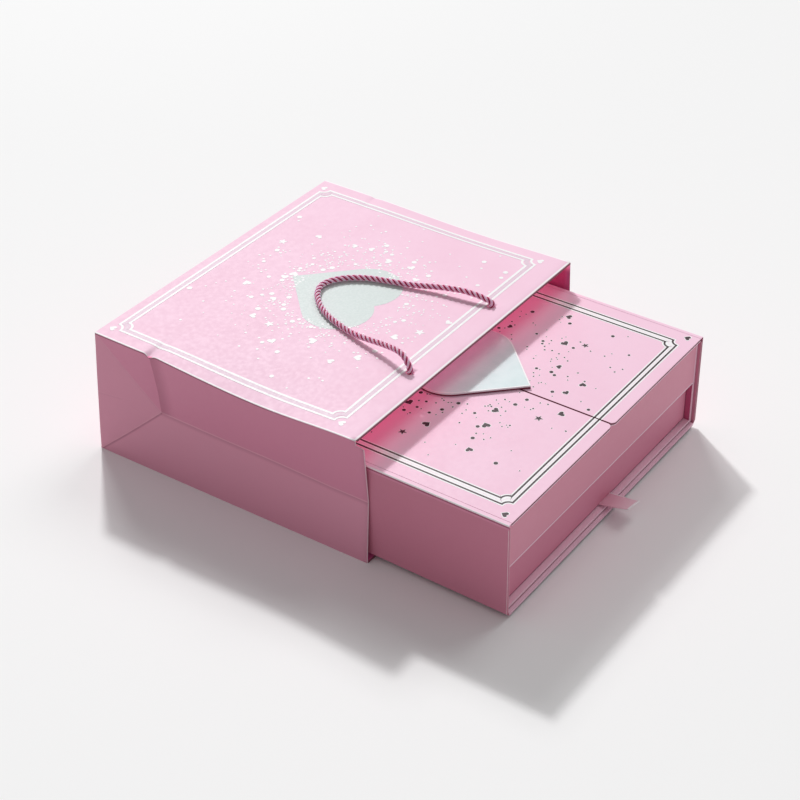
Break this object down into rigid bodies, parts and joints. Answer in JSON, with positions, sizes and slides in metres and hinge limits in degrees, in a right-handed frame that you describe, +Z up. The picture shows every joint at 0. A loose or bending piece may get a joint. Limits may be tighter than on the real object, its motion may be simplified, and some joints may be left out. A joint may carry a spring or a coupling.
{
  "type": "sliding drawer gift box",
  "caption": "Gift box with meeting lid doors and a ribbon-pull drawer, half slid out of a folded paper carrier bag with a rope handle.",
  "frame": {"origin": "on the table under the middle of the object: halfway between the ribbon's tip and the bag's closed end, halfway across the bag", "axes": "+Z up from the table, -Y the way the box slides out of the bag and the drawer out of the box, +X to the right seen from the drawer's front"},
  "size_m": [0.236, 0.3088, 0.0958],
  "materials": {
    "bag_paper": "satin",
    "hem_card": "matte",
    "rope": "satin",
    "cover_board": "satin",
    "cover_paper": "satin",
    "core_board": "matte",
    "plaque": "satin",
    "magnet_steel": "satin",
    "frame_board": "satin",
    "drawer_board": "satin",
    "ribbon": "satin"
  },
  "bodies": {
    "bag": {"bag_front_panel": "bag_paper", "bag_back_panel": "bag_paper", "bag_left_gusset": "bag_paper", "bag_right_gusset": "bag_paper", "bag_end_panel": "bag_paper", "bag_end_card": "hem_card", "front_hem_card": "hem_card", "back_hem_card": "hem_card", "rope_knots": "rope"},
    "handle": {"handle_rope": "rope"},
    "case": {"cover_base_board": "cover_board", "cover_left_board": "cover_board", "cover_right_board": "cover_board", "left_base_hinge": "cover_paper", "right_base_hinge": "cover_paper", "left_door_hinge": "cover_paper", "right_door_hinge": "cover_paper", "frame_floor": "frame_board", "frame_left_wall": "frame_board", "frame_right_wall": "frame_board", "frame_rear_wall": "frame_board", "tray_floor": "frame_board", "tray_front_wall": "frame_board"},
    "left_door": {"left_door_board": "core_board", "left_door_wrap": "cover_paper", "door_keeper": "magnet_steel"},
    "right_door": {"right_door_board": "core_board", "right_door_wrap": "cover_paper", "heart_plaque": "plaque", "plaque_magnet": "magnet_steel"},
    "drawer": {"drawer_front": "drawer_board", "drawer_rear": "drawer_board", "drawer_left_side": "drawer_board", "drawer_right_side": "drawer_board", "drawer_bottom": "drawer_board", "ribbon_pull": "ribbon"}
  },
  "joints": [
    {"name": "box_slide", "type": "slide", "parent": "bag", "child": "case", "axis": [0, -1, 0], "range_m": [-0.098, 0.11]},
    {"name": "drawer_slide", "type": "slide", "parent": "case", "child": "drawer", "axis": [0, -1, 0], "range_m": [0, 0.15]},
    {"name": "right_door_lift", "type": "hinge", "parent": "case", "child": "right_door", "pos_m": [0.10685, 0, 0.0669], "axis": [0, 1, 0], "range_deg": [0, 5]},
    {"name": "left_door_lift", "type": "hinge", "parent": "case", "child": "left_door", "pos_m": [-0.10685, 0, 0.0669], "axis": [0, -1, 0], "range_deg": [0, 5]},
    {"name": "handle_swing", "type": "hinge", "parent": "bag", "child": "handle", "pos_m": [0, -0.02995, 0.0876], "axis": [1, 0, 0], "range_deg": [0, 120]}
  ],
  "couplings": [
    {"joint": "left_door_lift", "follows": "right_door_lift", "ratio": 1}
  ]
}
